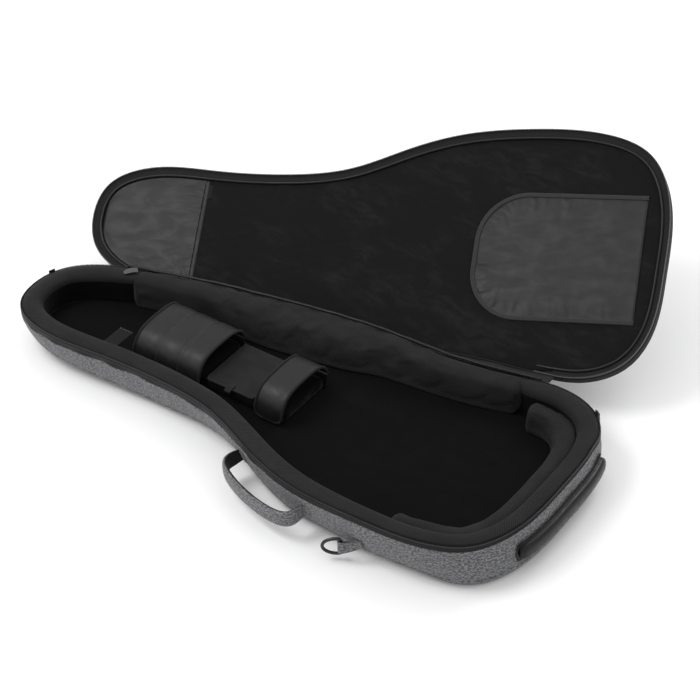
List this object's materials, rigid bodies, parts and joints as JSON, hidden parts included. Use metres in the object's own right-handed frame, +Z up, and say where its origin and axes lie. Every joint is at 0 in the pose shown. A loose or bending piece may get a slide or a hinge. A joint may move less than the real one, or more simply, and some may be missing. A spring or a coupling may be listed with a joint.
{
  "type": "guitar case",
  "caption": "Padded soft guitar case lying open, with a hinged pocketed lid, a shaped foam tray, neck straps, an accessory box, a side handle and a rubber end bumper.",
  "frame": {"origin": "centre of the flat underside of the base tray, on the floor", "axes": "+X from the head end to the body end, +Y towards the hinge side, +Z up"},
  "size_m": [1.0916, 0.8666, 0.3],
  "materials": {
    "heather": "grey melange woven polyester",
    "twill": "black diagonal twill over soft foam",
    "velour": "black short-pile velour",
    "nylon": "dark satin nylon",
    "webbing": "black woven tape",
    "rubber": "glossy black moulded rubber",
    "black_metal": "gloss black coating",
    "foam": "quilted padding core, closed inside the lid",
    "board": "stiff plastic board and zipper coil",
    "label": "blank woven label"
  },
  "bodies": {
    "base": {"base_shell": "heather", "base_bottom_piping": "webbing", "base_stiffener_board": "board", "base_floor_pad": "velour", "base_rim_padding": "twill", "far_side_pad": "twill", "end_bolster": "twill", "base_zipper_tape": "webbing", "base_zipper_coil": "board", "end_bumper": "rubber", "head_end_loop": "webbing", "care_label": "label", "neck_rest_head": "velour", "neck_rest_body": "velour", "accessory_box": "nylon", "wide_neck_strap_root": "nylon", "wide_neck_strap_landing": "webbing", "narrow_neck_strap_root": "nylon", "narrow_neck_strap_landing": "webbing", "handle_anchor_head": "heather", "handle_anchor_body": "heather", "d_ring_tab": "heather", "hinge_gusset": "webbing"},
    "lid": {"lid_gusset": "webbing", "lid_outer_panel": "heather", "lid_foam_core": "foam", "lid_liner": "velour", "lid_piping": "nylon", "lid_zipper_tape": "webbing", "lid_zipper_coil": "board", "lid_head_pocket": "nylon", "lid_head_pocket_hem": "webbing", "lid_woven_tag": "label", "lid_body_pocket": "nylon", "lid_body_pocket_binding": "webbing"},
    "side_handle": {"side_handle_outer": "heather", "side_handle_lining": "twill"},
    "d_ring": {"d_ring": "black_metal"},
    "wide_strap": {"wide_neck_strap": "nylon"},
    "narrow_strap": {"narrow_neck_strap": "nylon"},
    "accessory_flap": {"accessory_flap": "nylon"},
    "slider_head": {"zipper_slider_head": "black_metal"},
    "slider_head_pull": {"zipper_slider_head_pull": "black_metal"},
    "slider_body": {"zipper_slider_body": "black_metal"},
    "slider_body_pull": {"zipper_slider_body_pull": "black_metal"}
  },
  "joints": [
    {"name": "lid_hinge", "type": "hinge", "parent": "base", "child": "lid", "pos_m": [-0.027, 0.1506, 0.0628], "axis": [-0.9819, -0.1886, -0.0181], "range_deg": [-147.5, 0]},
    {"name": "side_handle_swing", "type": "hinge", "parent": "base", "child": "side_handle", "pos_m": [0.10557, -0.20671, 0.043], "axis": [-0.9602, 0.2792, 0], "range_deg": [-20, 35]},
    {"name": "d_ring_swing", "type": "hinge", "parent": "base", "child": "d_ring", "pos_m": [0.272, -0.242, 0.026], "axis": [0, 0, 1], "range_deg": [-32, 118]},
    {"name": "wide_strap_open", "type": "hinge", "parent": "base", "child": "wide_strap", "pos_m": [-0.206, 0.051, 0.0586], "axis": [-1, 0, 0], "range_deg": [0, 55]},
    {"name": "narrow_strap_open", "type": "hinge", "parent": "base", "child": "narrow_strap", "pos_m": [0.007, 0.051, 0.0586], "axis": [-1, 0, 0], "range_deg": [0, 55]},
    {"name": "accessory_flap_open", "type": "hinge", "parent": "base", "child": "accessory_flap", "pos_m": [-0.0785, 0.044, 0.0523], "axis": [-1, 0, 0], "range_deg": [0, 95]},
    {"name": "head_slider_travel", "type": "slide", "parent": "base", "child": "slider_head", "axis": [-0.3331, -0.9429, 0], "range_m": [0, 0.015]},
    {"name": "head_slider_pull_swing", "type": "hinge", "parent": "slider_head", "child": "slider_head_pull", "pos_m": [-0.51092, -0.00734, 0.077], "axis": [0.3331, 0.9429, 0], "range_deg": [0, 100]},
    {"name": "body_slider_travel", "type": "slide", "parent": "base", "child": "slider_body", "axis": [0.7976, -0.6032, 0], "range_m": [0, 0.015]},
    {"name": "body_slider_pull_swing", "type": "hinge", "parent": "slider_body", "child": "slider_body_pull", "pos_m": [0.46862, 0.19214, 0.077], "axis": [0.7976, -0.6032, 0], "range_deg": [0, 100]}
  ]
}
